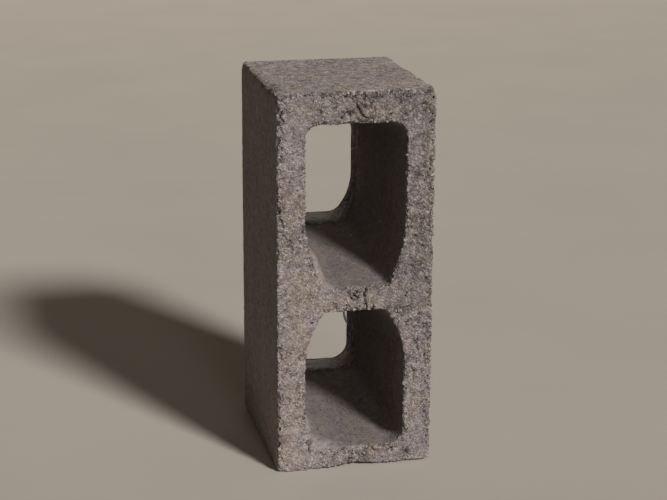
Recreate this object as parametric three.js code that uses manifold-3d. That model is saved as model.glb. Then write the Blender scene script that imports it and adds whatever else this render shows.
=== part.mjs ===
// A two-core hollow concrete block, cast in one piece, standing on one end.
//
// Frame: millimetres, +Z up along the block's laid length, +X across its thickness and +Y
// through its laid height. The origin is the middle of the end that it stands on.
// The -Y face was the open top of the mould, and the +Y face lay on the pallet. The cores of
// the mould are drawn out towards -Y, so each opening is widest at -Y and narrows to +Y, with a
// short curved lip just before the pallet face.

import * as THREE from 'three';
import { mergeVertices } from 'three/addons/utils/BufferGeometryUtils.js';
import Module from 'manifold-3d';

const wasm = await Module();
wasm.setup();

// ---- Driving dimensions --------------------------------------------------------------------

const blockLength = 390; // along Z, the laid length
const blockThickness = 160; // along X, from face shell to face shell
const blockHeight = 190; // along Y, from the mould's top to its pallet
const arris = 1.5; // the small bevel that casting and handling leave on every outer edge

const upperEndWeb = 32; // the end web at the top, at the -Y face
const lowerEndWeb = 21; // the end web that the block stands on, at the -Y face
const centreWeb = 24.5; // the web between the two cores, at the -Y face
const centreWebHeight = 179.5; // how high the centre web's middle lies
const faceShell = 29; // each long wall beside the cores, at the -Y face

const coreDepthOfLip = 25; // how far the curved lip reaches in from the pallet face
const coreLipAcross = 4; // how much the lip takes off each side of an opening
const coreLipAlong = 8; // how much the lip takes off each end of an opening

// The upper and the lower core: how far each narrows between its mouth and its lip, at each
// side and at each end, and the rounding of its corners. The corners beside the centre web are
// long arcs that thicken the web where it meets the face shells.
const upperCore = {
  draftAcross: 7.5,
  draftAlong: 22,
  arcInset: 18, // how far the arc comes in from the side, at the centre web
  arcLength: 75, // how far from the centre web the arc starts
  mouthCorner: 14, // radius of the corners beside the end web, at the mouth
  lipCorner: 16, // the same radius at the pallet face
};
const lowerCore = {
  draftAcross: 11,
  draftAlong: 22.5,
  arcInset: 20,
  arcLength: 58,
  mouthCorner: 17,
  lipCorner: 18,
};
const mouthWebFillet = 5; // where a long arc meets the flat of the centre web, at the mouth
const lipWebFillet = 14; // the same at the pallet face

const arcSteps = 8; // straight pieces in each long arc
const cornerSteps = 5; // in each end corner
const filletSteps = 4; // in each small fillet
const lipSteps = 5; // along the curve of the lip
const overrun = 5; // how far a cutting tool runs past both faces

const concreteGrey = 0x7d726b;

// ---- Shape helpers -------------------------------------------------------------------------

/** A closed three.js geometry as a manifold solid, its shared vertices merged. */
function solidFrom(geometry) {
  geometry.deleteAttribute('normal');
  geometry.deleteAttribute('uv');
  const merged = mergeVertices(geometry);
  return new wasm.Manifold(new wasm.Mesh({
    numProp: 3,
    vertProperties: new Float32Array(merged.attributes.position.array),
    triVerts: new Uint32Array(merged.index.array),
  }));
}

/** A manifold solid as a flat-shaded three.js geometry. */
function geometryFrom(solid) {
  const mesh = solid.getMesh();
  const geometry = new THREE.BufferGeometry();
  geometry.setAttribute('position', new THREE.BufferAttribute(mesh.vertProperties, mesh.numProp));
  geometry.setIndex(new THREE.BufferAttribute(mesh.triVerts, 1));
  geometry.computeVertexNormals();
  return geometry;
}

/** Points of a circular arc, both ends included; angles in radians. */
function arcPoints(centreX, centreY, radius, from, to, steps) {
  const arc = new THREE.EllipseCurve(centreX, centreY, radius, radius, from, to, to < from);
  return arc.getPoints(steps);
}

/**
 * One half of a core's outline, x positive, from the centre web (v = 0) to the end web
 * (v = along). The long arc is tangent to the straight side and meets the web at an angle,
 * which a fillet rounds off.
 */
function halfOutline({ halfWidth, along, arcInset, arcLength, corner, fillet }) {
  const arcRadius = (arcInset ** 2 + arcLength ** 2) / (2 * arcInset);
  const arcMiddle = halfWidth - arcRadius;
  const filletAcross = Math.sqrt((arcRadius - fillet) ** 2 - (arcLength - fillet) ** 2);
  const filletTurn = Math.atan2(fillet - arcLength, filletAcross);
  return [
    ...arcPoints(arcMiddle + filletAcross, fillet, fillet, -Math.PI / 2, filletTurn, filletSteps),
    ...arcPoints(arcMiddle, arcLength, arcRadius, filletTurn, 0, arcSteps).slice(1),
    ...arcPoints(halfWidth - corner, along - corner, corner, 0, Math.PI / 2, cornerSteps),
  ];
}

/** The whole outline: the half and its mirror image, running once round the core. */
function coreOutline(size) {
  const half = halfOutline(size);
  const mirrored = half.map((point) => new THREE.Vector2(-point.x, point.y)).reverse();
  return [...half, ...mirrored];
}

/**
 * Size of a core's section at each step of its depth. The sides are straight from the mouth to
 * where the lip starts, and the lip closes in with the square of the way through it.
 */
function coreStations(core, mouthAlong) {
  const lipStart = blockHeight - coreDepthOfLip;
  const sectionAt = (depth) => {
    const draft = Math.min(depth, lipStart) / lipStart;
    const lip = Math.max(0, depth - lipStart) / coreDepthOfLip;
    const across = core.draftAcross * draft + coreLipAcross * lip ** 2;
    const endwise = core.draftAlong * draft + coreLipAlong * lip ** 2;
    return {
      depth,
      web: endwise,
      halfWidth: blockThickness / 2 - faceShell - across,
      along: mouthAlong - 2 * endwise,
      arcInset: core.arcInset,
      arcLength: core.arcLength - endwise,
      corner: THREE.MathUtils.lerp(core.mouthCorner, core.lipCorner, depth / blockHeight),
      fillet: THREE.MathUtils.lerp(mouthWebFillet, lipWebFillet, depth / blockHeight),
    };
  };
  const lipDepths = Array.from(
    { length: lipSteps + 1 },
    (_, step) => lipStart + (coreDepthOfLip * step) / lipSteps,
  );
  return [-overrun, ...lipDepths, blockHeight + overrun].map(sectionAt);
}

/**
 * The solid that a core of the mould leaves empty. An extrusion of the mouth's outline is
 * reshaped ring by ring to the section at each depth. `webZ` is the centre web's face at the
 * mouth, and `direction` is +1 for the core above the web and -1 for the one below.
 */
function coreCutter(core, mouthAlong, webZ, direction) {
  const stations = coreStations(core, mouthAlong);
  const outlines = stations.map(coreOutline);
  const blank = outlines[0];
  const steps = stations.length - 1;
  const geometry = new THREE.ExtrudeGeometry(new THREE.Shape(blank), {
    depth: steps,
    steps,
    bevelEnabled: false,
  });
  const keyOf = (x, y) => `${Math.fround(x)} ${Math.fround(y)}`;
  const indexOf = new Map(blank.map((point, index) => [keyOf(point.x, point.y), index]));
  const position = geometry.attributes.position;
  for (let i = 0; i < position.count; i += 1) {
    const ring = Math.round(position.getZ(i));
    const { depth, web } = stations[ring];
    const point = outlines[ring][indexOf.get(keyOf(position.getX(i), position.getY(i)))];
    // A core is its own mirror image in X, so turning X with the direction keeps faces outward.
    position.setXYZ(i, -direction * point.x, depth - blockHeight / 2, webZ + direction * (web + point.y));
  }
  return solidFrom(geometry);
}

/** The outer form: a rounded-corner outline in XZ, extruded along Y with the same small bevel. */
function blockBody() {
  const halfX = blockThickness / 2;
  const outline = new THREE.Shape([
    new THREE.Vector2(-halfX + arris, 0),
    new THREE.Vector2(halfX - arris, 0),
    new THREE.Vector2(halfX, arris),
    new THREE.Vector2(halfX, blockLength - arris),
    new THREE.Vector2(halfX - arris, blockLength),
    new THREE.Vector2(-halfX + arris, blockLength),
    new THREE.Vector2(-halfX, blockLength - arris),
    new THREE.Vector2(-halfX, arris),
  ]);
  const geometry = new THREE.ExtrudeGeometry(outline, {
    depth: blockHeight - 2 * arris,
    bevelEnabled: true,
    bevelThickness: arris,
    bevelSize: arris,
    bevelOffset: -arris,
    bevelSegments: 1,
  });
  geometry.translate(0, 0, arris - blockHeight / 2);
  geometry.rotateX(Math.PI / 2);
  return solidFrom(geometry);
}

// ---- The block -----------------------------------------------------------------------------

const webTop = centreWebHeight + centreWeb / 2;
const webBottom = centreWebHeight - centreWeb / 2;
const upperMouth = blockLength - upperEndWeb - webTop;
const lowerMouth = webBottom - lowerEndWeb;

const concrete = new THREE.MeshStandardMaterial({
  color: concreteGrey,
  roughness: 0.95,
  metalness: 0,
  flatShading: true,
});

const block = new THREE.Mesh(
  geometryFrom(
    blockBody()
      .subtract(coreCutter(upperCore, upperMouth, webTop, 1))
      .subtract(coreCutter(lowerCore, lowerMouth, webBottom, -1)),
  ),
  concrete,
);
block.name = 'concrete_block';

const group = new THREE.Group();
group.add(block);

export default group;
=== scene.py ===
# %% [markdown]
# # A hollow concrete block, standing on one end
#
# The real object is one piece of dry-cast concrete: a nearly dry mix of sand, fine gravel and
# cement is vibrated and tamped in a steel mould, and the mould is pulled off at once. Steel gives
# the outer faces and the core walls a fairly smooth skin. The open top of the mould gives a face
# of loose, close-packed grains, and that is the face with the wide mouths.
#
# The CAD solid has the true sizes and the taper of the cores. This notebook makes the skin that
# such a block has, in the same place and inside the same outer box.

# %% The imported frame, and the block's corners in millimetres
import math

import bmesh
import bpy
import numpy as np
from mathutils import Matrix, Vector


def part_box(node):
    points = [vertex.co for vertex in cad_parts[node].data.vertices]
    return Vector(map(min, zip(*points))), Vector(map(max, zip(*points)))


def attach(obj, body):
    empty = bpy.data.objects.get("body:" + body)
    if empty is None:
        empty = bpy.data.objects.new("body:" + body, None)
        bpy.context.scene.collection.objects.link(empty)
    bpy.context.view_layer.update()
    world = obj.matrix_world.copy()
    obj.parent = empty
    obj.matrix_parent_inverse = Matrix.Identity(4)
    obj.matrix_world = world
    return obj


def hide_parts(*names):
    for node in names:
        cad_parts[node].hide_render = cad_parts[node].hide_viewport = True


MM = 0.001

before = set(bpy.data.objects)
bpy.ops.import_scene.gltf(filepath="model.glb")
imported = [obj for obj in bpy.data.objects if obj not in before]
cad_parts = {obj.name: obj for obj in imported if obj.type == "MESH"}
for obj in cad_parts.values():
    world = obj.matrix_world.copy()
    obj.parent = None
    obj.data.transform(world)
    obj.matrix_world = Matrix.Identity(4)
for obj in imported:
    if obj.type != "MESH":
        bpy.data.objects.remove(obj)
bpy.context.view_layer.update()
LOW, HIGH = (np.array(corner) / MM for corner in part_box("concrete_block"))
MIDDLE, HALF = (LOW + HIGH) / 2, (HIGH - LOW) / 2
HALF_X, HALF_Y, TOP = HIGH
DEPTH = 2 * HALF_Y
print("block", (HIGH - LOW).round(2), "mm")

# %% [markdown]
# ## The camera
#
# The camera is set first, so that every later look is taken from the same place. It stands low
# and a little to the left, with a long lens, so that upright edges stay almost parallel. Its
# place is given as a turn round the block, a height angle and a distance from the middle of the
# wide-mouthed face.

# %% Camera
CAMERA_TURN, CAMERA_RISE, CAMERA_ROLL = map(math.radians, (-13.13, 16.06, 0.27))
CAMERA_DISTANCE = 1.6947  # metres
CAMERA_RIGHT, CAMERA_UP = -0.0223, 0.0347  # the camera is moved sideways and up, not turned
FOCAL_PIXELS, PICTURE_WIDTH = 1704.0, 667
SENSOR_WIDTH = 36.0


def direction(turn, rise):
    """Unit vector from the block towards a turn round it and a rise above the floor."""
    level = math.cos(rise)
    return Vector((math.sin(turn) * level, -math.cos(turn) * level, math.sin(rise)))


def new_object(name, data):
    """An object with this data, put into the scene."""
    made = bpy.data.objects.new(name, data)
    bpy.context.scene.collection.objects.link(made)
    return made


def make_camera():
    """A camera set by three unit vectors, right, up and back. Back follows from the turn and the
    rise, right is square to it and level, and both others are then rolled round it."""
    back = direction(CAMERA_TURN, CAMERA_RISE)
    right = Vector((0, 0, 1)).cross(back).normalized()
    roll = Matrix.Rotation(CAMERA_ROLL, 3, back)
    right, up = roll @ right, roll @ back.cross(right)
    aim = Vector((0, -HALF_Y, TOP / 2)) * MM
    place = aim + back * CAMERA_DISTANCE + right * CAMERA_RIGHT + up * CAMERA_UP
    data = bpy.data.cameras.new("camera")
    data.sensor_width = SENSOR_WIDTH
    data.lens = FOCAL_PIXELS * SENSOR_WIDTH / PICTURE_WIDTH
    made = new_object("camera", data)
    made.matrix_world = Matrix.Translation(place) @ Matrix((right, up, back)).transposed().to_4x4()
    return made


camera = make_camera()
bpy.context.scene.camera = camera
print("lens", round(camera.data.lens, 1), "mm at", [round(c, 3) for c in camera.location])

# %% [markdown]
# ## Noise made with numpy
#
# Concrete is random at every scale, so everything below is shaped by two kinds of noise. *Value
# noise* blends random numbers from the corners of a grid of cubes and gives soft hills. *Cell
# noise* measures the distance to the nearest of one random point per cube and gives the round,
# close-packed bumps of gravel. Both take an array of points and work on all of them at once.

# %% Value noise and cell noise
HASH_FACTORS = np.array([73856093, 19349663, 83492791], np.int64)
SEED_FACTOR = 2654435761
MIX_FACTOR = 1274126177
HASH_BITS = 24
GRID_TURN = np.array(Matrix.Rotation(0.7, 3, "X") @ Matrix.Rotation(0.5, 3, "Z"))


def random_at(cells, seed):
    """Number in 0..1 for each cube: its indices times large primes, mixed by exclusive or and by
    shifts, and the lowest bits kept."""
    mixed = np.bitwise_xor.reduce(cells * HASH_FACTORS, axis=-1) ^ np.int64(seed * SEED_FACTOR)
    mixed = (mixed ^ (mixed >> 13)) * MIX_FACTOR
    mixed = mixed ^ (mixed >> 16)
    return (mixed & (2**HASH_BITS - 1)) / 2**HASH_BITS


def hills(points, size, seed):
    """Value noise in 0..1. Points are divided by the size of a hill, and turned off the axes if
    it has only one; the eight corner values of each cube are blended by s * s * (3 - 2 s) of the
    place inside it."""
    scaled = (points / size) @ GRID_TURN if np.ndim(size) == 0 else points / size
    cube = np.floor(scaled).astype(np.int64)
    inside = scaled - cube
    inside = inside * inside * (3 - 2 * inside)
    total = np.zeros(len(points))
    for corner in np.ndindex(2, 2, 2):
        weight = np.where(np.array(corner) == 1, inside, 1 - inside).prod(axis=1)
        total += weight * random_at(cube + np.array(corner), seed)
    return total


def grains_near(points, size, seed):
    """Cell noise: distance to the nearest random point, in cube widths, and that point's own
    random number. One point lies in each cube, so the 27 cubes around hold the nearest."""
    scaled = (points / size) @ GRID_TURN
    cube = np.floor(scaled).astype(np.int64)
    nearest = np.full(len(points), np.inf)
    own = np.zeros(len(points))
    for step in np.ndindex(3, 3, 3):
        other = cube + np.array(step) - 1
        centre = other + np.stack([random_at(other, seed + axis) for axis in range(3)], axis=1)
        distance = np.linalg.norm(scaled - centre, axis=1)
        closer = distance < nearest
        nearest = np.where(closer, distance, nearest)
        own = np.where(closer, random_at(other, seed + 3), own)
    return nearest, own


def ramp(value, start, end):
    """0 before start, 1 past end and smooth in between; start may be above end."""
    share = np.clip((value - start) / (end - start), 0, 1)
    return share * share * (3 - 2 * share)


# %% [markdown]
# ## The shape of a core
#
# The mould's core is a tapered steel box. It is drawn out towards the wide-mouthed face. The two
# corners beside the centre web are long arcs, which thicken the web where it meets the shells,
# and the two corners beside the end web are small. Just before the pallet face each side curves
# in by a few millimetres more, as a lip.
#
# A core could be modelled by hand with loop cuts. A formula is better here: it is the same one
# that the CAD solid uses, so the skin lies exactly on the solid, at any spacing.

# %% Core outlines at any depth
FACE_SHELL = 29.0
CENTRE_WEB = 24.5
WEB_HEIGHT = 179.5  # of the centre web's middle
UPPER_END_WEB, LOWER_END_WEB = 32.0, 21.0
LIP_DEPTH, LIP_ACROSS, LIP_ALONG = 25.0, 4.0, 8.0
MOUTH_FILLET, LIP_FILLET = 5.0, 14.0
CORE_SIZES = {  # of the upper and of the lower core
    "way": (1, -1),
    "web": (WEB_HEIGHT + CENTRE_WEB / 2, WEB_HEIGHT - CENTRE_WEB / 2),
    "block_end": (TOP, 0.0),
    "mouth_end": (TOP - UPPER_END_WEB, LOWER_END_WEB),
    "draft_across": (7.5, 11.0),
    "draft_along": (22.0, 22.5),
    "arc_inset": (18.0, 20.0),
    "arc_length": (75.0, 58.0),
    "mouth_corner": (14.0, 17.0),
    "lip_corner": (16.0, 18.0),
}
UPPER_CORE, LOWER_CORE = ({name: pair[k] for name, pair in CORE_SIZES.items()} for k in (0, 1))
STRETCH = np.linspace(0, 1, 33)  # each stretch of an outline is drawn with this many points


def arc(x, v, radius, angles):
    """Points of a circular arc round (x, v), at angles in radians."""
    return x + radius * np.cos(angles), v + radius * np.sin(angles)


def core_half(core, depths):
    """Right half of a core's outline, from the middle of the centre web to the middle of the end
    web, as an array (depths, points, 2) of x and z.

    Six stretches: the web's flat, a fillet, an arc whose radius (i * i + l * l) / 2 i makes it
    tangent to the side, the straight side, a quarter circle and the end web's flat. Sides and
    ends come in in proportion to the depth, and by the square of the way through the lip."""
    depth = np.asarray(depths, float)[:, None]
    lip_start = DEPTH - LIP_DEPTH
    draft = np.minimum(depth, lip_start) / lip_start
    lip = (np.maximum(depth - lip_start, 0) / LIP_DEPTH) ** 2
    side = HALF_X - FACE_SHELL - core["draft_across"] * draft - LIP_ACROSS * lip
    rise = core["draft_along"] * draft + LIP_ALONG * lip
    along = abs(core["mouth_end"] - core["web"]) - 2 * rise
    corner = core["mouth_corner"] + (core["lip_corner"] - core["mouth_corner"]) * depth / DEPTH
    fillet = MOUTH_FILLET + (LIP_FILLET - MOUTH_FILLET) * depth / DEPTH
    arc_length = core["arc_length"] - rise
    radius = (core["arc_inset"] ** 2 + arc_length**2) / (2 * core["arc_inset"])
    centre = side - radius
    flat = centre + np.sqrt((radius - fillet) ** 2 - (arc_length - fillet) ** 2)
    turn = np.arctan2(fillet - arc_length, flat - centre)
    quarter = math.pi / 2
    x, v = np.concatenate([
        (flat * STRETCH, 0 * flat * STRETCH),
        arc(flat, fillet, fillet, -quarter + (turn + quarter) * STRETCH),
        arc(centre, arc_length, radius, turn * (1 - STRETCH)),
        (side + 0 * STRETCH, arc_length + (along - corner - arc_length) * STRETCH),
        arc(side - corner, along - corner, corner, quarter * STRETCH),
        ((side - corner) * (1 - STRETCH), along + 0 * STRETCH),
    ], axis=2)
    return np.stack([x, core["web"] + core["way"] * (rise + v)], axis=2)


mouth = core_half(UPPER_CORE, [0])[0]
print("upper mouth", round(2 * mouth[:, 0].max(), 1), "x", round(np.ptp(mouth[:, 1]), 1), "mm")

# %% [markdown]
# ## The skin as a grid round each core
#
# Half of the block, cut through the centre web, is a ring with a rectangular section: along the
# core wall, out over the wide-mouthed face, back along the outer wall and in over the pallet
# face. Columns run round the ring and rows run round the section, so one grid covers it all.
# The two rings meet along the cut, where neither has an outer wall.
#
# The wide-mouthed face needs about one point per millimetre, and the smooth walls far fewer. So
# the face and the first few millimetres behind its edges are a fine grid, everything else is a
# grid with half as many columns, and two rows of five-sided faces join them.

# %% Columns: where each one meets the outer edge and the mouth
EDGE_STEPS = np.array([0, 0.5, 1.1, 1.9, 3.0, 4.4, 6.0])  # close rows and columns beside an arris
FINE_STEP = 1.2


def spaced(length, step):
    """Distances from an arris to `length`: the edge steps, then an even number of equal steps."""
    count = 2 * round((length - EDGE_STEPS[-1]) / step / 2)
    return np.concatenate([EDGE_STEPS[:-1], np.linspace(EDGE_STEPS[-1], length, count + 1)])


def half_columns(core):
    """For the right half: the columns' points on the block's outline, and where each meets the
    core's outline, as an index with a fraction. The two are matched at four places: the middle of
    the web, the block's side at the cut, its corner, and the middle of the end."""
    web = np.linspace(0, HALF_X, 2 * round(HALF_X / FINE_STEP / 2) + 1)
    height = abs(core["block_end"] - WEB_HEIGHT)
    side = height - spaced(height, FINE_STEP)[::-1]
    end = spaced(HALF_X, FINE_STEP)
    x = np.concatenate([web, HALF_X + 0 * side[1:], HALF_X - end[1:]])
    z = np.concatenate([0 * web, side[1:], height + 0 * end[1:]])
    outer = np.stack([x, WEB_HEIGHT + core["way"] * z], axis=1)
    outline = core_half(core, [0])[0]
    travelled = np.concatenate([[0], np.cumsum(np.linalg.norm(np.diff(outline, axis=0), axis=1))])
    count = len(STRETCH)
    matched = travelled[[0, 2 * count + count // 4, 4 * count + count // 2, -1]]
    outer_travelled = np.concatenate([web, HALF_X + side[1:], HALF_X + height + end[1:]])
    places = np.interp(outer_travelled, [0, HALF_X, HALF_X + height, 2 * HALF_X + height], matched)
    return outer, np.interp(places, travelled, np.arange(len(travelled))), len(web) - 1


def whole(half):
    """A closed ring from its right half: the half, then its mirror image run backwards."""
    return np.concatenate([half, half[..., -2:0:-1, :] * (-1, 1)], axis=-2)


def core_columns(core, depths, index):
    """The core wall at each depth and column: the outline's points blended at the indices."""
    outline = core_half(core, depths)
    first = np.minimum(index.astype(int), outline.shape[1] - 2)
    share = (index - first)[:, None]
    return whole(outline[:, first] * (1 - share) + outline[:, first + 1] * share)


# %% [markdown]
# A row is given by its depth behind the wide-mouthed face and by its share of the way from the
# core, 0, to the outer wall, 1. Every grid point carries seven numbers: x, y and z, its distance
# along the surface from the edge of the wide mouth and from the edge of the narrow mouth (plus on
# the face, minus on the core wall), and the direction, in x and z, from the core into the
# concrete. The last four are what the rounding of the edges needs later.

# %% Rows: core wall, wide-mouthed face, outer wall, pallet face
FAR = 99.0  # stands for "not beside this edge"
FACE_ROWS, OUTER_ROWS, PALLET_ROWS, WALL_ROWS = 26, 46, 11, 23
LIP_STEP = 2.1  # rows on the lip, which has fine ridges
GROWTH = 1.5  # power of the row's number with which the rows on the walls grow apart


def stations(*stretches):
    """Depth and share of every row, from stretches of rows given as (depths, shares)."""
    return np.concatenate([np.stack(np.broadcast_arrays(*pair)) for pair in stretches], axis=1)


def grid_rows(core, index, outer_ring, into, places):
    """Rows of seven numbers a point at the given depths and shares. The distance from a mouth's
    edge is the depth on the core wall, and on a face the part of the way that is square to it."""
    depth, share = places[..., None, None]
    core_ring = core_columns(core, places[0], index)
    ring = core_ring * (1 - share) + outer_ring * share
    outward = share * ((outer_ring - core_ring) * into).sum(axis=2, keepdims=True)
    wide = np.select([share == 0, depth == 0], [-depth, outward], FAR)
    narrow = np.select([share == 0, depth == DEPTH], [depth - DEPTH, outward], FAR)
    parts = [ring[..., :1], depth - HALF_Y, ring[..., 1:], wide, narrow, into]
    fitted = [np.broadcast_to(part, (*ring.shape[:2], part.shape[-1])) for part in parts]
    return np.concatenate(fitted, axis=2)


def outer_depths():
    """Depths of the outer wall's rows, from the fine grid to the pallet edge, closest together
    in the ragged part behind the open face."""
    start, end = EDGE_STEPS[-2], DEPTH - EDGE_STEPS[-1]
    growing = start + (end - start) * np.linspace(0, 1, OUTER_ROWS + 1) ** GROWTH
    return np.concatenate([growing, DEPTH - EDGE_STEPS[-2:0:-1]])


def core_depths():
    """Depths of the core wall's rows, from the pallet edge to the fine grid: the edge steps, even
    rows on the lip, and then rows that get closer towards the mouth."""
    lip = np.arange(EDGE_STEPS[-1], LIP_DEPTH + LIP_STEP, LIP_STEP)
    start, end = EDGE_STEPS[-2], DEPTH - LIP_DEPTH - LIP_STEP
    wall = start + (end - start) * np.linspace(1, 0, WALL_ROWS + 1) ** GROWTH
    return np.concatenate([DEPTH - EDGE_STEPS[1:-1], DEPTH - lip, wall])


def closer_at_ends(rows):
    """Shares 0..1 that lie a little closer together near both ends: t - sin(2 pi t) / 8 pi."""
    t = np.linspace(0, 1, rows + 1)
    return t - np.sin(2 * math.pi * t) / (8 * math.pi)


def square_to(ring):
    """Directions square to a closed outline, pointing out of it: the tangent between the two
    neighbours, turned by a right angle away from the outline's middle."""
    tangent = np.roll(ring, -1, axis=0) - np.roll(ring, 1, axis=0)
    turned = np.stack([tangent[:, 1], -tangent[:, 0]], axis=1)
    turned /= np.linalg.norm(turned, axis=1, keepdims=True)
    outward = np.sign((turned * (ring - ring.mean(axis=0))).sum())
    return turned * outward


# %% The two grids of one ring
def ring_grids(core):
    """The fine grid (wide-mouthed face and its edges) and the coarse grid (all the rest), the row
    of each on which the outer edge lies, and the number of fine columns in half a web."""
    outer, index, web_columns = half_columns(core)
    near, outside = EDGE_STEPS[1:-2], outer_depths()
    face, pallet = closer_at_ends(FACE_ROWS), closer_at_ends(PALLET_ROWS)[::-1]
    fine_places = stations((near[::-1], 0), (0, face), (near, 1))
    coarse_places = stations((outside, 1), (DEPTH, pallet), (core_depths(), 0))
    into, pallet_into = map(square_to, core_columns(core, [0, DEPTH], index))
    fine = grid_rows(core, index, whole(outer), into, fine_places)
    coarse = grid_rows(core, index, whole(outer), pallet_into, coarse_places)[:, ::2]
    return fine, coarse, len(near) + FACE_ROWS, len(outside), web_columns


# %% [markdown]
# The grids become faces: four corners each, and five on the joining rows. Where a column lies on
# the centre web there is no outer wall, so those faces are left out. The two rings then share
# every point on the cut, and merging equal points closes the skin.

# %% Faces of both rings, merged into one closed skin
def grid_faces(ids, keep):
    """Four-sided faces between neighbouring rows and columns; the last column joins the first."""
    beside = np.roll(ids, -1, axis=1)
    return np.stack([ids[:-1], beside[:-1], beside[1:], ids[1:]], axis=-1)[keep]


def joining_faces(fine_ids, coarse_ids):
    """Five-sided faces between a row and one with half its columns."""
    first, third = fine_ids[::2], np.roll(fine_ids[::2], -1)
    return np.stack([first, fine_ids[1::2], third, np.roll(coarse_ids, -1), coarse_ids], axis=-1)


def ring_faces(core, first_id):
    """Points of one ring, numbered from first_id, and its four-sided and five-sided faces. The
    core's own way turns the faces, so that both rings' faces look outward."""
    fine, coarse, fine_edge, coarse_edge, web_columns = ring_grids(core)
    points = np.concatenate([grid.reshape(-1, grid.shape[2]) for grid in (fine, coarse)])
    rows, columns = fine.shape[:2]
    ids = first_id + np.arange(len(points))
    fine_ids = ids[: rows * columns].reshape(rows, columns)
    coarse_ids = ids[rows * columns :].reshape(coarse.shape[:2])
    column = np.arange(columns)
    walled = (column >= web_columns) & (column < columns - web_columns)
    fine_row, coarse_row = (np.arange(len(grid) - 1)[:, None] for grid in (fine, coarse))
    fours = np.concatenate([
        grid_faces(fine_ids, (fine_row < fine_edge) | walled),
        grid_faces(coarse_ids, (coarse_row >= coarse_edge) | walled[::2]),
    ])
    fives = np.concatenate([
        joining_faces(fine_ids[-1], coarse_ids[0])[walled[::2]],
        joining_faces(fine_ids[0], coarse_ids[-1])[:, ::-1],
    ])
    return points, fours[:, :: -core["way"]], fives[:, :: -core["way"]]


def merged_skin():
    """Both rings, with equal points merged and unused points dropped."""
    upper = ring_faces(UPPER_CORE, 0)
    lower = ring_faces(LOWER_CORE, len(upper[0]))
    points, fours, fives = (np.concatenate(pair) for pair in zip(upper, lower))
    places = points[:, :3].round(3) + 0.0
    _, first, same = np.unique(places, axis=0, return_index=True, return_inverse=True)
    corners = same.ravel()[np.concatenate([fours.ravel(), fives.ravel()])]
    used, corners = np.unique(corners, return_inverse=True)
    split = fours.size
    return points[first][used], corners[:split].reshape(-1, 4), corners[split:].reshape(-1, 5)


skin, skin_fours, skin_fives = merged_skin()
print("skin", len(skin), "points,", 2 * len(skin_fours) + 3 * len(skin_fives), "triangles")


# %% A mesh from arrays
def mesh_object(name, points, face_lists, attributes=None, smooth=True):
    """A mesh piece from points in millimetres and arrays of faces, with one number a point for
    each attribute."""
    mesh = bpy.data.meshes.new(name)
    faces = [face for some in face_lists for face in some.tolist()]
    mesh.from_pydata(points * MM, [], faces, shade_flat=not smooth)
    mesh.validate()
    add_attributes(mesh, attributes or {})
    return new_object(name, mesh)


def add_attributes(mesh, attributes):
    """Store one number a point under each name, for materials to read; a single number is the
    same at every point."""
    for name, values in attributes.items():
        layer = mesh.attributes.new(name, "FLOAT", "POINT")
        values = np.broadcast_to(values, len(mesh.vertices)).astype(np.float32)
        layer.data.foreach_set("value", values)


def read_all(items, name, width):
    """A property of all points or faces, as an array with `width` numbers in a row."""
    values = np.empty(len(items) * width)
    items.foreach_get(name, values)
    return values.reshape(-1, width)


block = mesh_object("block_skin", skin[:, :3], [skin_fours, skin_fives])

# %% [markdown]
# ## Worn edges
#
# No edge of a dry-cast block is sharp. The mix crumbles where the mould was struck off, so the
# edges round the wide-mouthed face are ragged, with chips; the edges that steel formed on two
# sides are cleaner. A Bevel modifier would give one width everywhere. Here the radius is a field
# of noise over the whole block, and each point is pulled onto a rounding of that radius.

# %% The radius of the edges at every point
CHIPS = [(16, 3.0, 13), (8, 2.6, 17)]  # distance between chips, how deep they are, and a seed
WORN_CORNERS = [  # x, y and z of a knocked place, how far the damage reaches, and how deep
    (-80, -95, 0, 12, 3.0),
    (80, -95, 0, 8, 1.2),
    (-80, 95, 390, 12, 3.5),
    (80, -95, 390, 10, 2.5),
    (80, 95, 0, 12, 3.0),
    (-80, 95, 0, 10, 2.5),
    (-80, -95, 236, 10, 2.2),
    (80, -95, 118, 12, 2.4),
    (80, -95, 262, 9, 2.0),
]
CORNER_REACH = 12  # of the wear along the arris of the upper left end

base = skin[:, :3]
x, y, z = base.T
depth = y + HALF_Y
wide_edge, narrow_edge, into_concrete = skin[:, 3], skin[:, 4], skin[:, 5:]


def dimples(size, seed, rim, bottom, rare, common):
    """Round hollows, 0 outside and 1 at the bottom: cells of this size, with the rim and the
    bottom in cell widths from the middle, in those cells whose own number is high."""
    distance, own = grains_near(base, size, seed)
    return ramp(distance, rim, bottom) * ramp(own, rare, common)


def edge_radius():
    """Radius in millimetres: small everywhere, larger and rougher towards the open face, and
    larger still at chips and knocked places."""
    coarse, fine = hills(base, 13, 11), hills(base, 3.4, 12)
    chips = sum(deep * dimples(size, seed, 0.5, 0.15, 0.5, 0.9) for size, deep, seed in CHIPS)
    radius = 0.6 + 0.7 * coarse + 0.4 * fine + 0.25 * chips
    radius += ramp(depth, 9, 0) * (0.2 + 1.4 * coarse * fine + 0.45 * chips)
    upper_left = ramp(x + HALF_X, CORNER_REACH, 0) * ramp(TOP - z, CORNER_REACH, 0)
    radius += 2.2 * upper_left * ramp(y, HALF_Y - 10, 0) * (0.3 + fine)
    for *corner, reach, deep in WORN_CORNERS:
        distance = np.linalg.norm(base - corner, axis=1)
        radius += deep * ramp(distance, reach, reach / 4) * (0.6 + 0.8 * fine)
    return radius


# %% Pull every point onto the rounded edges
MOUTH_RADIUS_LIMIT = EDGE_STEPS[-2]


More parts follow.
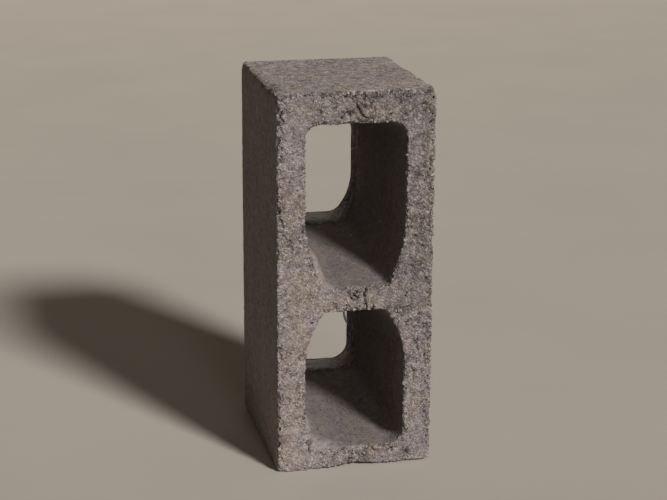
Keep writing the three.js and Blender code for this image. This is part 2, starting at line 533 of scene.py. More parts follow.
def rounded_box(points, radius):
    """c is the nearest point of the block's box shrunk by the radius r on every side, and a point
    p that is further than r from it becomes c + r (p - c) / |p - c|."""
    r = radius[:, None]
    offset = points - MIDDLE
    core = np.clip(offset, r - HALF, HALF - r)
    away = offset - core
    distance = np.linalg.norm(away, axis=1, keepdims=True)
    return MIDDLE + core + away * (r / np.maximum(distance, r))


def rounded_mouth(points, edge, radius, inward):
    """The same round the edge of a mouth, in the plane of two distances from it: a, into the
    concrete, and b, down the core wall; `inward` is the way of b along y."""
    r = np.minimum(radius, MOUTH_RADIUS_LIMIT)
    a, b = np.maximum(edge, 0), np.maximum(-edge, 0)
    away_a, away_b = np.minimum(a - r, 0), np.minimum(b - r, 0)
    pull = 1 - r / np.maximum(np.hypot(away_a, away_b), r)
    moved = points.copy()
    moved[:, [0, 2]] -= into_concrete * (away_a * pull)[:, None]
    moved[:, 1] -= inward * away_b * pull
    return moved


radius = edge_radius()
shaped = rounded_mouth(rounded_box(base, radius), wide_edge, radius, 1)
shaped = rounded_mouth(shaped, narrow_edge, radius, -1)
print("edge radius", radius.min().round(1), "to", radius.max().round(1), "mm")

# %% [markdown]
# ## Relief
#
# The open face is close-packed gravel of 2 to 5 mm with sand between, and holes where a grain
# came away. Across the middle of each web runs a rough strap: the bar that carried the mould's
# cores stood there, and the mix under it was never tamped, so it is torn, pitted and cracked.
# Steel-formed faces have only shallow pores, drawn out along the way the mould was pulled, and a
# rougher band on the lip near the pallet. At the lower left of both mouths the paste slumped as
# the core was drawn, and the edge is rounded over.
#
# A Displace modifier with one texture can't tell these places apart, so the depth is worked out
# here. All relief goes inwards: the highest grains touch the true outer box and nothing passes
# it.

# %% Where the surface is open, and where the straps are
STRAPS = [(7.0, 358.0, 390.0), (0.0, 168.0, 192.0), (3.7, 0.0, 21.0)]  # middle in x, from z, to z
STRAP_HALF = 11.5
SWELLS = [  # where a mouth's edge is rounded over: middle in x and z, reach in x and z, and amount
    (-42, 207, 30, 38, 7.5),
    (-42, 30, 34, 42, 8.0),
]
CLOSE = 0.01


def sway(size, width, seed):
    """Noise as wide as `width`, half of it below 0."""
    return width * (hills(base, size, seed) - 0.5)


on_face, on_pallet = y <= CLOSE - HALF_Y, y >= HALF_Y - CLOSE
on_core = ~on_face & ~on_pallet & (wide_edge < 0)
on_end = ~on_face & ~on_pallet & ~on_core & (np.abs(z - MIDDLE[2]) > HALF[2] - CLOSE)

swell = np.zeros(len(base))
for middle_x, middle_z, reach_x, reach_z, amount in SWELLS:
    swell += amount * ramp(np.hypot((x - middle_x) / reach_x, (z - middle_z) / reach_z), 1, 0.3)

reach = (1.5 + 7 * hills(base, 6, 21)) * np.where(on_end, 1.6, 1.0) / (1 + swell)
open_face = np.where(on_face, 1.0, ramp(depth, reach, 0.3 * reach))
lip_band = np.where(on_core, ramp(depth, DEPTH - LIP_DEPTH - 4, DEPTH - LIP_DEPTH + 6), 0)

strap = np.zeros(len(base))
wander = sway(9, 5, 22)
for middle_x, low_z, high_z in STRAPS:
    across = ramp(np.abs(x - middle_x + wander), STRAP_HALF + 2, STRAP_HALF - 3)
    inside_web = (z > low_z - 6) & (z < high_z + 6)
    strap = np.maximum(strap, across * inside_web * ramp(depth, 5, 0))
print("open", round(float(open_face.mean()), 2), "strap", round(float(strap.mean()), 3))

# %% How rough the open face is: crumbly at its edges and straps, tamped smooth in patches
WORN_AT = np.array([0, 30, 75, 95, 235, 256, 278, 300, 322, 350, 390])  # z along the left arris
WORN_SHARE = np.array([0.7, 1.3, 1.2, 0.35, 0.3, 1.3, 1.3, 0.5, 1.3, 1.6, 1.6])
BOTTOM_WORN = 0.35
RIGHT_AT = np.array([0, 110, 160, 250, 310, 390])  # z up the right face shell
RIGHT_ROUGH = np.array([0.05, 0.05, 0.42, 0.42, 0.3, 0.22])
BROKEN_PLACES = [  # x and z of crumbled patches on the open face, and how far they reach
    (-47, 31, 10), (-10, 368, 11), (6, 381, 8), (-74, 376, 12), (45, 384, 8), (66, 372, 10),
    (-4, 184, 8), (-22, 172, 7), (40, 160, 10), (55, 100, 9), (2, 10, 9), (38, 18, 7),
]


def worn_share(points):
    """How broken the nearest arris is: by height on the left side, little at the bottom end, and
    1 elsewhere."""
    share = np.where(points[:, 0] < 20 - HALF_X, np.interp(points[:, 2], WORN_AT, WORN_SHARE), 1.0)
    return share + (BOTTOM_WORN - share) * ramp(points[:, 2], 9, 4)


def away_from(place_x, place_z):
    """Distance of every point from a place on the open face, seen from the front."""
    return np.hypot(x - place_x, z - place_z)


# Of a point's distances to the three planes of the box, the middle one is that to an edge.
to_box_edge = np.sort(HALF - np.abs(base - MIDDLE), axis=1)[:, 1]
to_mouth_edge = np.minimum(np.abs(wide_edge), np.abs(narrow_edge))
edge_distance = np.minimum(to_box_edge, to_mouth_edge)
worn = worn_share(base)

rough = 0.05 + 0.6 * ramp(0.6 * hills(base, 26, 71) + 0.4 * hills(base, 11, 72), 0.42, 0.62)
rough += ramp(x, -20, 60) * np.interp(z, RIGHT_AT, RIGHT_ROUGH)
rough -= 0.3 * ramp(x, -45, -65) * ramp(z, 230, 290)  # the upper left is tamped well
rough += 0.6 * worn * ramp(to_box_edge + sway(7, 6, 73), 10, 2)
rough += 0.35 * ramp(to_mouth_edge, 5, 1) + 0.45 * strap
broken = np.zeros(len(base))
ragged = sway(5, 5, 74)
for place_x, place_z, far in BROKEN_PLACES:
    crumbled = ramp(away_from(place_x, place_z) + ragged, far, far / 3)
    broken = np.maximum(broken, crumbled * ramp(depth, 6, 0))
rough = np.clip(rough + 0.7 * broken, 0, 1.3)
print("rough", rough[on_face].min().round(2), "to", rough[on_face].max().round(2))

# %% Depth of the relief
CRACKS = [  # cracks and pits in the wide-mouthed face: half width, depth, and x and z along each
    (1.0, 3.5, [(9, 388), (8.5, 384), (6.5, 381)]),
    (1.1, 3.5, [(8.5, 376.5), (9, 372)]),
    (1.0, 3.5, [(-0.5, 379), (1, 374.5), (4, 368), (7, 364), (11, 360)]),
    (0.7, 2.5, [(10.5, 388.5), (14.5, 386.5), (18, 382.5)]),
    (0.7, 2.5, [(-15.5, 388), (-7.5, 385)]),
    (1.2, 2.5, [(-15.5, 363.5), (-11.5, 367.5), (-5.5, 369.5)]),
    (0.9, 3.0, [(31.5, 389), (34.5, 386)]),
    (1.0, 3.0, [(-4.5, 186), (-1, 183), (3, 180.5)]),
    (0.9, 3.5, [(10.5, 191.5), (9, 186), (9.5, 179), (10, 173.5), (12, 167.5)]),
    (0.9, 2.5, [(-7, 194.5), (-5.5, 190.5)]),
    (1.0, 2.5, [(1, 190), (1, 188)]),
    (1.2, 3.5, [(-9, 173.5), (-10, 168)]),
    (1.2, 3.0, [(17.5, 170), (17.5, 167)]),
    (1.4, 4.0, [(-5, 8), (-2, 5.5), (1.5, 2)]),
    (0.9, 2.0, [(17.5, 22), (19.5, 17.5), (25, 15), (28, 16.5)]),
    (1.0, 2.5, [(35.5, 22.5), (38.5, 19)]),
    (1.2, 3.5, [(-78.5, 384), (-75, 387)]),
    (1.1, 3.0, [(-77, 367), (-75.5, 361.5)]),
    (1.0, 3.0, [(-80.5, 274.5), (-77.5, 267), (-73.5, 258)]),
    (1.1, 3.0, [(-49.5, 30.5), (-47, 28)]),
    (1.0, 3.0, [(-46.5, 24), (-46, 21)]),
]
CRACK_SLOPE = 0.6  # half the width of a crack's sides
DRAWN = np.array([3.4, 30.0, 3.4])  # marks on steel-formed faces, drawn out with the mould
LIP_RIDGES = np.array([13.0, 4.2, 13.0])  # ridges on the lip, drawn out along its edge
OPEN_HILLS = [(24, 0.4, 30), (9, 0.4, 39)]  # size in mm, height in mm and seed of each noise
STEEL_HILLS = [(DRAWN, 0.3, 59), (6.5, 0.35, 60), (40, 0.3, 61)]
LIP_HILLS = [(LIP_RIDGES, 1.5, 62), (6, 0.6, 63)]
TAMPED, PRESSED = 0.9, 0.3  # what tamping and steel flattened off the tops of the relief


def to_polyline(places, corners):
    """Distance from each place to the nearest of the straight pieces between the corners."""
    nearest = np.full(len(places), np.inf)
    for start, end in zip(corners[:-1], corners[1:]):
        start, way = np.array(start), np.subtract(end, start)
        share = np.clip(((places - start) @ way) / (way @ way), 0, 1)
        distance = np.linalg.norm(places - start - share[:, None] * way, axis=1)
        nearest = np.minimum(nearest, distance)
    return nearest


def hilly(noises):
    """Several sizes of hills on top of each other."""
    return sum(height * hills(base, size, seed) for size, height, seed in noises)


def hollow_depth(clump):
    """Depth of what is hole or crack: holes and creases in the open surface, pits where it is
    broken, pores in the rest, gaps between the clumps of a strap, and the cracks."""
    holes = 2.0 * dimples(6.0, 35, 0.36, 0.1, 0.9 - 0.3 * rough, 1.0 - 0.2 * rough)
    crease = np.abs(hills(base, 7.5, 88) + 0.35 * hills(base, 3, 89) - 0.675)
    creases = 1.5 * ramp(crease, 0.09, 0.01) * ramp(rough * hills(base, 17, 90), 0.25, 0.55)
    crumbly = np.maximum(ramp(to_box_edge, 9, 2) * worn, broken) * open_face
    pits = 2.6 * crumbly * dimples(5.0, 86, 0.42, 0.2, 0.5, 0.8)
    pores = 0.8 * dimples(7.0, 55, 0.25, 0.08, 0.7, 0.9)
    hollow = open_face * (holes + creases) + (1 - open_face) * pores + pits
    hollow += 0.3 * strap * ramp(clump, 0.4, 0.75)
    cracks, wander = np.zeros(len(base)), sway(3, 1.0, 64)
    for half_width, deep, corners in CRACKS:
        aside = to_polyline(base[:, [0, 2]], corners) + wander - half_width
        cracks = np.maximum(cracks, deep * ramp(aside, CRACK_SLOPE, -CRACK_SLOPE))
    return hollow + cracks * ramp(depth, 4, 1)


def relief_depth():
    """Millimetres below the true surface at every point, and the part of it that is hole or
    crack: hills and cells, weighted by how open and how rough the surface is."""
    gravel, gravel_own = grains_near(base, 3.6, 31)
    clump, clump_own = grains_near(base, 5.0, 47)
    open_relief = hilly(OPEN_HILLS) + (0.3 + 0.5 * rough) * hills(base, 2.2, 43)
    open_relief += rough * ramp(gravel, 0.2, 0.75) * (0.5 + 0.7 * gravel_own)
    open_relief = open_face * np.maximum(open_relief - TAMPED, 0)
    steel_relief = (1 - open_face) * np.maximum(hilly(STEEL_HILLS) - PRESSED, 0)
    strap_relief = 0.3 + 1.3 * hills(base, 7, 51) + 1.0 * ramp(clump, 0.25, 0.7) * clump_own
    hollow = hollow_depth(clump)
    formed = open_relief + steel_relief + strap * strap_relief + lip_band * hilly(LIP_HILLS)
    return formed + hollow, hollow


# %% Push the surface in
TURN_REACH = 8.0  # the inward way turns over this distance from an edge, more than the relief


def inward_ways():
    """Unit vector into the concrete at every point: towards the nearest point of the block's box
    shrunk by TURN_REACH, and, beside a mouth, away from it as well. It turns slowly from one face
    to the next, so that deep relief on an edge never folds."""
    offset = base - MIDDLE
    ways = np.clip(offset, TURN_REACH - HALF, HALF - TURN_REACH) - offset
    beside = np.minimum(np.maximum(wide_edge, 0), np.maximum(narrow_edge, 0))
    ways[:, [0, 2]] += into_concrete * np.maximum(TURN_REACH - beside, 0)[:, None]
    return ways / np.linalg.norm(ways, axis=1, keepdims=True)


relief, hollow = relief_depth()
relieved = shaped + inward_ways() * relief[:, None]
print("relief up to", relief.max().round(1), "mm; mean on the open face",
      relief[on_face].mean().round(2), "mm")

# %% [markdown]
# ## Crumbled arrises
#
# The arrises round the open face are the most broken part of the block. A bite there leaves the
# open face flat and moves its outline: the side wall turns in behind it. So here the points move
# along the open face, away from the side, and each bite is worked out at the arris, so that the
# points on both of its faces move by the same amount. The arrises of the upper end are chipped
# along their whole depth. Those of the lower end stand on the floor and are bitten less, but the
# front one hangs free.

# %% Bites out of the arrises
BITE_REACH = 9.0
SWELL_DEPTH = 11.0
RIGHT_SHARE, LOWER_END_SHARE = 0.6, 0.35  # how much these arrises are bitten, of the whole
BOTTOM_GAP = 1.8  # the lower end's front edge hangs free by about this much,
MIDDLE_GAP = 2.0  # and by this much more below the strap,
GAP_DEPTH = 8.0  # as far in as this
TOP_CHIPS = np.array([8.0, 12.0, 8.0])  # size of the long chips along the two upper side arrises
TOP_CHIP_DEEP = 3.6


def bite_depth(places):
    """Millimetres bitten off an arris: chunks of 6.5 mm and crumbs of 2.8 mm, in worse and better
    stretches."""
    chunks = 3.0 * ramp(hills(places, 6.5, 81), 0.52, 0.8)
    crumbs = 1.6 * ramp(hills(places, 2.8, 83), 0.4, 0.85)
    return (0.35 + 1.1 * hills(places, 30, 85)) * (chunks + crumbs)


def swell_profile():
    """How far a rounded-over edge stands out into the core: a quarter of a circle over the first
    SWELL_DEPTH, and from the middle of the core a slow return to the wall."""
    turn = np.clip(1 - depth / SWELL_DEPTH, 0, 1)
    return np.sqrt(1 - turn**2) * ramp(depth, DEPTH - LIP_DEPTH, DEPTH / 2)


def bites():
    """Movement of every point: along x beside the two long sides, along z beside the ends, and
    into the concrete beside a wide mouth. It fades over BITE_REACH on both faces of an arris."""
    way_x, way_z = np.sign(x), np.sign(z - MIDDLE[2])
    near_face = ramp(depth, BITE_REACH, 0)
    near_side = ramp(HALF_X - np.abs(x), BITE_REACH, 0)
    near_end = ramp(HALF[2] - np.abs(z - MIDDLE[2]), BITE_REACH, 0)
    fading = ramp(depth, 185, 20)
    side_share = np.maximum(near_face, 0.9 * near_end * fading) * np.where(x > 0, RIGHT_SHARE, 1)
    end_share = np.maximum(near_face, 0.5 * near_side * fading)
    end_share *= np.where(way_z < 0, LOWER_END_SHARE, 1)
    moved = np.zeros_like(base)
    for axis, way, share in ((0, way_x, near_side * side_share), (2, way_z, near_end * end_share)):
        places = base.copy()
        places[:, axis] = MIDDLE[axis] + way * HALF[axis]
        moved[:, axis] -= way * share * bite_depth(places) * worn_share(places)
    gap = BOTTOM_GAP * ramp(x, -70, 10) * (0.6 + 0.8 * hills(base, 22, 87))
    gap += MIDDLE_GAP * ramp(np.abs(x + 4), 18, 5) * (0.6 + 0.8 * hills(base, 5, 92))
    moved[:, 2] += gap * ramp(z, BITE_REACH, 0) * ramp(depth, GAP_DEPTH + 5, GAP_DEPTH)
    places = np.stack([way_x * HALF_X, y, np.full_like(y, TOP)], axis=1)
    chips = ramp(hills(places, TOP_CHIPS, 91), 0.4, 0.75) * ramp(depth, DEPTH - 6, DEPTH - 40)
    chips *= TOP_CHIP_DEEP * np.where(x > 0, 0.5, 1) * ramp(TOP - z, BITE_REACH, 0) * near_side
    moved[:, 0] -= way_x * chips * (1 - near_face)
    places = base.copy()
    places[:, [0, 2]] -= into_concrete * np.maximum(wide_edge, 0)[:, None]
    share = ramp(wide_edge, BITE_REACH, 0) * near_face * (0.35 + 0.5 * into_concrete[:, 1] ** 2)
    bitten_off = share * bite_depth(places) - swell * on_core * swell_profile()
    moved[:, [0, 2]] += into_concrete * bitten_off[:, None]
    return moved


surface = relieved + bites()
block.data.vertices.foreach_set("co", (surface * MM).ravel())
block.data.update()
print("bites up to", np.abs(surface - relieved).max().round(1), "mm")

# %% What the material needs to know at each point
# Patches painted darker or lighter on the open face.
BRIGHTER_DARKER_PATCHES = [  # x and z of a darker or lighter place on the open face, how far it reaches, how much
    (72, 215, 75, -0.16),
    (10, 5, 60, -0.15),
    (-70, 300, 70, -0.03),
    (74, 90, 60, 0.10),
]


def by_face(side, end, core, pallet):
    """One value for each kind of face that the mould or the pallet formed."""
    return np.select([on_end, on_core, on_pallet], [end, core, pallet], default=side)


def blended(formed, opened, lip):
    """A value on formed faces, turning into another on the open face and a third on the lips."""
    return formed + (opened - formed) * open_face + (lip - formed) * lip_band


normals = read_all(block.data.vertex_normals, "vector", 3)
# Painted light and shade: the film makes the ends lighter and the core walls darker, partly the
# paste's own film and partly for how the lamp falls on them.
film = by_face(side=1.0, end=1.42, core=0.75, pallet=1.0)
# Painted light: the open face is made lighter to the left and towards the bottom, as the light
# falls on it, and the listed patches make it darker or lighter in places.
painted_light_and_patches = 0.97 - 0.0013 * x - 0.0005 * (z - MIDDLE[2])
for place_x, place_z, far, change in BRIGHTER_DARKER_PATCHES:
    painted_light_and_patches += change * ramp(away_from(place_x, place_z), far, 0)
# Painted light: the core walls are made lighter near the mouth, where more light comes in, and on
# the rounded-over edges, which the lamp lights.
rounded_over_painted_light = swell / 8 * on_core * ramp(depth, 16, 1)
film += on_core * (0.08 * rounded_over_painted_light + 0.12 * ramp(depth, 55, 5))
# Painted shade: the core walls on the right, which face away from the lamp, are made darker.
film -= 0.1 * on_core * ramp(into_concrete[:, 0], 0.4, 0.9)
# Painted light: the left side is made lighter towards the bottom, as if lit by light from the
# floor.
film += 0.4 * (x < CLOSE - HALF_X) * ramp(z, 260, 0) * (1 - on_face)
# Dust and painted light: upward faces on the lips at the back of the cores are made pale, most
# towards the left, where the light falls on them.
dust_and_painted_light = on_core * ramp(depth, DEPTH - 17, DEPTH - 9) * ramp(normals[:, 2], 0.35, 0.8)
bumpy = by_face(side=0.5, end=0.4, core=1.0, pallet=0.5)
add_attributes(block.data, {
    "open": blended(by_face(side=0.45, end=1.15, core=0.17, pallet=0.5), 0.5 + 0.45 * rough, 0.7),
    "bumpy": bumpy + (1 - bumpy) * np.maximum(open_face, lip_band),
    # how hollow a point is, which the material darkens as painted shade
    "hollow": np.clip(hollow / 2, 0, 1),
    "film": blended(film, painted_light_and_patches, 0.87 + sway(1.3 * LIP_RIDGES, 1.2, 93)),
    "tone": np.maximum(dust_and_painted_light * ramp(x, 34, 2), 0.12 * rounded_over_painted_light),
})

# %% [markdown]
# ## Loose grains
#
# On the real face single grains of sand and stone stand half out of the paste, and many are
# paler or darker than it. They could be painted only, but then they would not break the outline
# of the edges. So a few thousand small stones are set into the open surface. Each is a
# twenty-sided ball with its corners moved, stretched and turned at random, and all of them are
# one mesh.

# %% Stones sunk into the surface
STONES = 5200
stones_random = np.random.default_rng(7)


def unit_ball(subdivisions):
    """Points and triangles of a ball of radius one."""
    shape = bmesh.new()
    bmesh.ops.create_icosphere(shape, subdivisions=subdivisions, radius=1)
    points = np.array([point.co[:] for point in shape.verts])
    faces = np.array([[corner.index for corner in face.verts] for face in shape.faces])
    shape.free()
    return points, faces


def stones_at(name, centres, radii, tones, subdivisions, roughness):
    """One mesh of stones, kept inside the block's box: ball points p at random distances,
    stretched, turned by a random unit quaternion (w, v) as p + 2 v x (v x p - w p), and moved to
    each centre."""
    ball, faces = unit_ball(subdivisions)
    count = len(centres)
    lengths = 1 + roughness * (stones_random.random((count, len(ball), 1)) - 0.5)
    stretch = 0.7 + 0.6 * stones_random.random((count, 1, 3))
    turn = stones_random.normal(size=(4, count))
    turn /= np.linalg.norm(turn, axis=0)
    w, v = turn[0][:, None, None], turn[1:].T[:, None]
    local = ball * lengths * stretch
    local += 2 * np.cross(v, np.cross(v, local) - w * local)
    points = (centres[:, None] + local * radii[:, None, None]).reshape(-1, 3)
    faces = (faces + len(ball) * np.arange(count)[:, None, None]).reshape(-1, 3)
    tones = np.repeat(tones, len(ball))
    attributes = {"open": 1, "bumpy": 1, "hollow": 0, "film": 1, "tone": tones}
    return mesh_object(name, np.clip(points, LOW, HIGH), [faces], attributes, smooth=False)


face_centres = read_all(block.data.polygons, "center", 3) / MM
face_normals = read_all(block.data.polygons, "normal", 3)
face_areas = read_all(block.data.polygons, "area", 1)[:, 0]
first_corner = np.concatenate([skin_fours[:, 0], skin_fives[:, 0]])
weight = open_face * (0.15 + rough**2) * (1 + 2 * ramp(edge_distance, 5, 0)) + 0.01
weight += 0.3 * ramp(to_box_edge, 2.5, 0) * (1 - on_pallet) * ramp(z, 40, 80)
at_top_left = (x < 3 - HALF_X) & (z > TOP - 3)
weight += 4.0 * at_top_left * ramp(to_box_edge, 3, 1) * ramp(y, HALF_Y - 20, 40)
weight = weight[first_corner] * face_areas
chosen = stones_random.choice(len(weight), STONES, p=weight / weight.sum())
stone_radii = 0.45 + 0.9 * stones_random.random(STONES) ** 2.5
stone_radii *= 1 + 0.6 * ramp(edge_distance, 4, 0)[first_corner[chosen]]
kind, pale, dark, low = stones_random.random((4, STONES))
stone_tones = np.select([kind < 0.1, kind < 0.25], [0.2 + 0.6 * pale, -0.3 - 0.7 * dark])
sunk = stone_radii * (0.15 + 0.5 * low)
stone_centres = face_centres[chosen] - face_normals[chosen] * sunk[:, None]
stones = stones_at("surface_grains", stone_centres, stone_radii, stone_tones, 1, 0.5)
print("stones", STONES, "with", len(stones.data.polygons), "triangles")

# %% [markdown]
# ## Lumps and a hanging crumb
#
# A few pieces of stone stand out of the arrises, and a thin sliver of mortar hangs from the top
# of the lower core. The lumps are larger stones of the same kind. The sliver is a round section
# carried along a short bent path, thin at both ends.

# %% Lumps on the arrises
LUMPS = [  # x, z and radius of each, on the wide-mouthed face
    (-74.5, 304, 2.6), (-73.5, 377.5, 2.0), (-77, 352, 1.8), (-78, 95, 1.6), (51.5, 87, 2.6),
    (9, 379, 1.8), (-3, 378, 1.5), (57, 388, 1.8), (13, 168.5, 1.8), (-1, 168.5, 1.7),
    (37, 178, 1.6), (-1, 2.5, 1.8), (74, 372, 2.0), (76, 41, 1.8), (45, 165, 1.8), (33, 66, 1.5),
]
lump_x, lump_z, lump_radii = np.array(LUMPS, float).T
wanted = np.stack([lump_x, 0 * lump_x - HALF_Y, lump_z], axis=1)
seats = [np.argmin(((surface - place) ** 2).sum(axis=1)) for place in wanted]
lump_centres = surface[seats] - normals[seats] * (0.4 * lump_radii)[:, None]
lump_tones = 0.1 + 0.5 * stones_random.random(len(LUMPS))
lumps = stones_at("edge_lumps", lump_centres, lump_radii, lump_tones, 2, 0.35)
print("lumps", len(LUMPS), "with", len(lumps.data.polygons), "triangles")

# %% A sliver of mortar under the centre web
SLIVER_PATH = np.array([(-12.2, -92.8, 172), (-11.6, -93.0, 166), (-10.6, -93.3, 160.5),
                        (-9.0, -93.0, 156.5), (-7.4, -92.8, 153.5)])
SLIVER_RADIUS = 1.15
SLIVER_STEPS, SLIVER_SIDES = 16, 8


def sliver():
    """Rings of points round a smooth path: the path is a polynomial of the third degree through
    its points, and the radius is that of a ball, sqrt(1 - u * u), at u = -1..1 along it."""
    way = np.linspace(0, 1, len(SLIVER_PATH))
    u = -np.cos(np.linspace(0, math.pi, SLIVER_STEPS + 1)[1:-1])
    centres = np.vander((u + 1) / 2, 4) @ np.polyfit(way, SLIVER_PATH, 3)
    turn = np.linspace(0, 2 * math.pi, SLIVER_SIDES, endpoint=False)
    ring = np.stack([np.cos(turn), np.sin(turn), 0 * turn], axis=1)
    radii = SLIVER_RADIUS * np.sqrt(1 - u**2) * (0.8 + 0.5 * hills(centres, 2.5, 95))
    rings = centres[:, None] + radii[:, None, None] * ring
    ids = np.arange(len(u) * SLIVER_SIDES).reshape(-1, SLIVER_SIDES)
    walls = grid_faces(ids, slice(None))[..., ::-1].reshape(-1, 4)
    beside = np.roll(ids, -1, axis=1)
    caps = np.concatenate([
        np.stack([0 * ids[0] + ids.size, ids[0], beside[0]], axis=1),
        np.stack([0 * ids[0] + ids.size + 1, beside[-1], ids[-1]], axis=1),
    ])
    return np.concatenate([rings.reshape(-1, 3), SLIVER_PATH[[0, -1]]]), [walls, caps]


# The sliver is made much darker than the face, with a low film and a dark tone.
sliver_look = {"open": 0.6, "bumpy": 1, "hollow": 0, "film": 0.4, "tone": -0.7}
crumb = mesh_object("hanging_crumb", *sliver(), sliver_look)
print("sliver", round(crumb.dimensions.z / MM, 1), "mm long")

# %% [markdown]
# ## Material
#
# Dry-cast concrete is grey cement paste full of sand, with pieces of crushed stone from mauve to
# olive grey, and it is dull all over. Where the surface is open the grains show one by one;
# where steel pressed it, a film of paste covers most of them and leaves pores.
#
# Colours are written as sRGB hex values and turned linear by one function. Pattern sizes are real
# ones: sand of 1 to 2 mm, stone of about 4 mm and pores 4.5 mm apart. Painting them from one
# picture would stretch it over the core walls, so they are patterns in space. Five numbers at
# each point steer them: how open the surface is, how bumpy, how hollow, which is also painted
# shade in holes and cracks, and how bright its paste is, partly its film and partly painted light
# and shade. The fifth is its tone, above 0 for pale stone and for dust and painted light on the
# lips and the rounded-over edges, and below 0 for dark stone and for the darkened sliver.

# %% Helpers for materials
MIX_SHARE, MIX_A, MIX_B, MIX_OUT = 0, 6, 7, 2  # sockets of a Mix node that mixes colours


def linear(hex_colour):
    """Linear RGBA of an sRGB hex colour: c / 12.92 below 0.04045, else ((c + 0.055) / 1.055) to
    the power 2.4."""
    parts = [int(hex_colour[k : k + 2], 16) / 255 for k in (1, 3, 5)]
    return (*(c / 12.92 if c <= 0.04045 else ((c + 0.055) / 1.055) ** 2.4 for c in parts), 1.0)


def add_node(tree, kind, inputs=None, **settings):
    """A shader node with its settings; each input is a value, or the output that feeds it."""
    made = tree.nodes.new("ShaderNode" + kind)
    for name, value in settings.items():
        setattr(made, name, value)
    for key, value in (inputs or {}).items():
        if isinstance(value, bpy.types.NodeSocket):
            tree.links.new(value, made.inputs[key])
        else:
            made.inputs[key].default_value = value
    return made


def new_material(name):
    """An empty node material, its tree, and the place in the object that is being shaded."""
    material = bpy.data.materials.new(name)
    material.use_nodes = True
    material.node_tree.nodes.clear()
    return material, material.node_tree, add_node(material.node_tree, "TexCoord").outputs["Object"]


def finish_material(tree, inputs):
    """A Principled shader with these inputs, joined to the material's output."""
    shader = add_node(tree, "BsdfPrincipled", inputs)
    add_node(tree, "OutputMaterial", {"Surface": shader.outputs["BSDF"]})


def noise(tree, place, size, detail):
    """Cloudy noise 0..1 with clouds of this size in millimetres, and finer ones by detail."""
    inputs = {"Vector": place, "Scale": 1 / (size * MM), "Detail": detail}
    return add_node(tree, "TexNoise", inputs).outputs["Fac"]


def cells(tree, place, size):
    """Cells of this size in millimetres: the distance from each one's middle, and three random
    numbers of its own, by their names."""
    cell = add_node(tree, "TexVoronoi", {"Vector": place, "Scale": 1 / (size * MM)})
    own = add_node(tree, "SeparateColor", {"Color": cell.outputs["Color"]})
    return dict(own.outputs.items(), Distance=cell.outputs["Distance"])


def spread(tree, value, low, high, start=0.0, end=1.0):
    """A value in start..end, clamped to that, spread over low..high; start may be above end."""
    inputs = {"Value": value, "From Min": start, "From Max": end, "To Min": low, "To Max": high}
    return add_node(tree, "MapRange", inputs).outputs["Result"]


def combined(tree, operation, first, *others):
    """Numbers added or multiplied, one after the other."""
    for other in others:
        first = add_node(tree, "Math", {0: first, 1: other}, operation=operation).outputs[0]
    return first


def layered(tree, first, layers):
    """A number plus layers, each a value in 0..1 spread over low..high, and multiplied by a
    strength if the layer has one."""
    for value, low, high, *strength in layers:
        layer = combined(tree, "MULTIPLY", spread(tree, value, low, high), *strength)
        first = combined(tree, "ADD", first, layer)
    return first


def scaled(tree, colour, bright):
    """A colour times a brightness."""
    inputs = {0: colour, "Scale": bright}
    return add_node(tree, "VectorMath", inputs, operation="SCALE").outputs["Vector"]


def mixed(tree, share, first, second):
    """Two colours mixed, with this share of the second."""
    inputs = {MIX_SHARE: share, MIX_A: first, MIX_B: second}
    return add_node(tree, "Mix", inputs, data_type="RGBA").outputs[MIX_OUT]


# %% Dry-cast concrete: dull, mottled, speckled with stone
PASTE_MAUVE, PASTE_OLIVE = linear("#766c6b"), linear("#776c64")
STONE_PALE, STONE_DARK = linear("#aca299"), linear("#3d3632")


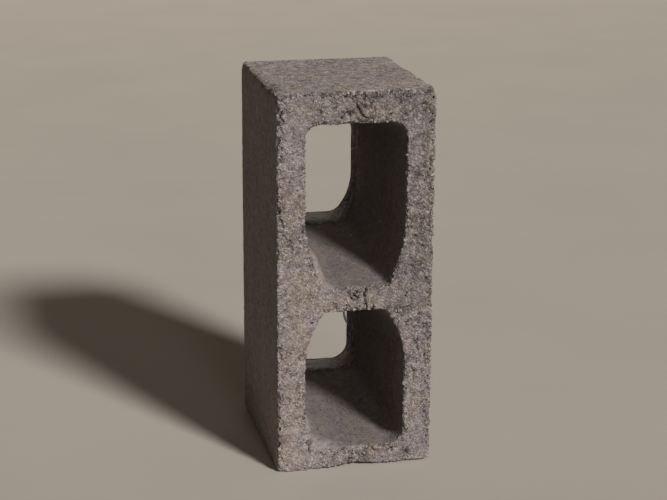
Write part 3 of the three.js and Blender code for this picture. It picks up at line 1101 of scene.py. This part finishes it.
def concrete_material():
    """Paste colour from slow noise, brightness from sand and stone cells, pale and dark stones
    from the cells' own random numbers, painted shade in pores and hollows, and bump from the same
    patterns."""
    material, tree, place = new_material("dry_cast_concrete")
    openness, bumpy, hollow, film, tone = (
        add_node(tree, "Attribute", attribute_name=name).outputs["Fac"]
        for name in ("open", "bumpy", "hollow", "film", "tone")
    )
    lively = spread(tree, openness, 0.4, 1.0, end=0.8)
    slow, tint = noise(tree, place, 38, 4.0), noise(tree, place, 26, 4.0)
    blotch, sand = noise(tree, place, 8, 3.0), noise(tree, place, 1.5, 3.0)
    pulled = add_node(tree, "Mapping", {"Vector": place, "Scale": (1.0, 0.12, 1.0)})
    drawn = noise(tree, pulled.outputs["Vector"], 4, 2.0)
    stone, grit, fleck, pore = (cells(tree, place, size) for size in (3.6, 1.9, 1.2, 4.5))
    pores = combined(
        tree, "MULTIPLY",
        spread(tree, pore["Distance"], 0.0, 1.0, 0.3, 0.15),
        spread(tree, openness, 0.0, 1.0, 0.6, 0.45),
        spread(tree, pore["Red"], 0.0, 1.0, 0.5, 0.55),
    )

    tint_share = layered(tree, spread(tree, tint, 0.0, 1.0, 0.4, 0.6), [
        (grit["Green"], -0.25, 0.25, openness),
        (tone, 0.0, 3.0),
    ])
    bright = layered(tree, 0.995, [
        (slow, -0.25, 0.25),
        (blotch, -0.75, 0.75, lively),
        (drawn, -0.1, 0.1),
        (sand, -0.9, 0.9, lively),
        (stone["Red"], -0.2, 0.2, openness),
        (grit["Red"], -0.22, 0.22, openness),
        (fleck["Red"], -0.17, 0.17, lively),
        (spread(tree, fleck["Green"], 0.0, 1.0, 0.9, 0.93), 0.0, 0.65, lively),
        # painted shade: pores, holes and cracks are darkened
        (pores, 0.0, -0.35),
        (hollow, 0.0, -0.7),
    ])
    bright = combined(tree, "MULTIPLY", bright, film)
    colour = scaled(tree, mixed(tree, tint_share, PASTE_MAUVE, PASTE_OLIVE), bright)
    for own, rare, seen, stone_colour in (
        (stone["Green"], 0.97, 0.35, STONE_PALE),
        (grit["Green"], 0.93, 0.5, STONE_PALE),
        (stone["Blue"], 0.93, 0.4, STONE_DARK),
        (grit["Blue"], 0.9, 0.5, STONE_DARK),
    ):
        share = spread(tree, own, 0.0, seen, rare, rare + 0.02)
        colour = mixed(tree, combined(tree, "MULTIPLY", share, openness), colour, stone_colour)
    colour = mixed(tree, spread(tree, tone, 0.0, 0.95), colour, STONE_PALE)
    colour = mixed(tree, spread(tree, tone, 0.0, 0.8, end=-1.0), colour, STONE_DARK)

    height = layered(tree, 0.0, [
        (sand, 0.0, 1.0, lively),
        (grit["Distance"], 0.0, -1.1, openness),
        (blotch, 0.0, 1.2, lively),
        (pores, 0.0, -0.6),
        (drawn, 0.0, 0.15),
        (stone["Distance"], 0.0, -0.8, openness),
    ])
    strength = spread(tree, bumpy, 0.0, 0.9)
    bump = add_node(tree, "Bump", {"Height": height, "Strength": strength, "Distance": 1.3 * MM})
    finish_material(tree, {
        "Base Color": colour,
        "Roughness": 0.92,
        "IOR": 1.5,
        "Specular IOR Level": 0.3,
        "Normal": bump.outputs["Normal"],
    })
    return material


concrete = concrete_material()
pieces = [block, stones, lumps, crumb]
for piece in pieces:
    piece.data.materials.append(concrete)
print("concrete nodes", len(concrete.node_tree.nodes))

# %% [markdown]
# ## Floor and light
#
# The block stands on a plain pale floor. A lamp far to the front and right, ten degrees wide,
# lights the open face and the floors of the cores and leaves the left side in shade. A weak low
# lamp in front and a wide dim panel far behind the block lighten the core walls, and a little
# warm light from all round fills the shade.

# %% Floor
FLOOR_HALF = 60.0  # metres, so that its edge is out of sight
FLOOR_PALE = linear("#afa79c")


def make_floor():
    """A flat square at z = 0."""
    corners = np.array([[-1, -1, 0], [1, -1, 0], [1, 1, 0], [-1, 1, 0]]) * FLOOR_HALF / MM
    made = mesh_object("studio_floor", corners, [np.array([[0, 1, 2, 3]])])
    material, tree, place = new_material("pale_floor_paint")
    bright = spread(tree, noise(tree, place, 260, 5.0), 0.94, 1.06)
    colour = scaled(tree, FLOOR_PALE[:3], bright)
    finish_material(tree, {"Base Color": colour, "Roughness": 0.85, "Specular IOR Level": 0.2})
    made.data.materials.append(material)
    return made


floor = make_floor()

# %% Light
LAMPS = [  # name; turn, rise and width in degrees; strength
    ("key", 26.3, 33.7, 10, 3.9),
    ("soft_front", 3, 7, 12, 0.75),
]
FILL_COLOUR, FILL_STRENGTH = (1.0, 0.85, 0.68), 0.044
BACK_SIZE, BACK_DISTANCE, BACK_POWER = 5.6, 4.2, 37.0  # in metres, metres and watts


def far_lamp(name, turn, rise, width, strength):
    """A lamp so far away that its light comes from one direction, a few degrees wide."""
    data = bpy.data.lights.new(name, "SUN")
    data.energy = strength
    data.angle = math.radians(width)
    towards = direction(math.radians(turn), math.radians(rise))
    new_object(name, data).rotation_euler = towards.to_track_quat("Z", "Y").to_euler()


def back_panel():
    """A wide panel behind the block, facing it, that the camera doesn't see."""
    data = bpy.data.lights.new("back_panel", "AREA")
    data.shape = "SQUARE"
    data.size = BACK_SIZE
    data.energy = BACK_POWER
    data.color = FILL_COLOUR
    panel = new_object("back_panel", data)
    panel.location = (0, BACK_DISTANCE, BACK_SIZE / 2)
    panel.rotation_euler = (-math.pi / 2, 0, 0)
    panel.visible_camera = False


def fill_world():
    """Even light from all round."""
    world = bpy.data.worlds.new("fill")
    world.use_nodes = True
    background = world.node_tree.nodes["Background"]
    background.inputs["Color"].default_value = (*FILL_COLOUR, 1.0)
    background.inputs["Strength"].default_value = FILL_STRENGTH
    bpy.context.scene.world = world


for lamp in LAMPS:
    far_lamp(*lamp)
back_panel()
fill_world()
bpy.context.scene.view_settings.view_transform = "Standard"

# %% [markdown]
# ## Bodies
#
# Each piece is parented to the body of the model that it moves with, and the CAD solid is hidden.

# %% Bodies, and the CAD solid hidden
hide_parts("concrete_block")
for piece in pieces:
    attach(piece, "root")
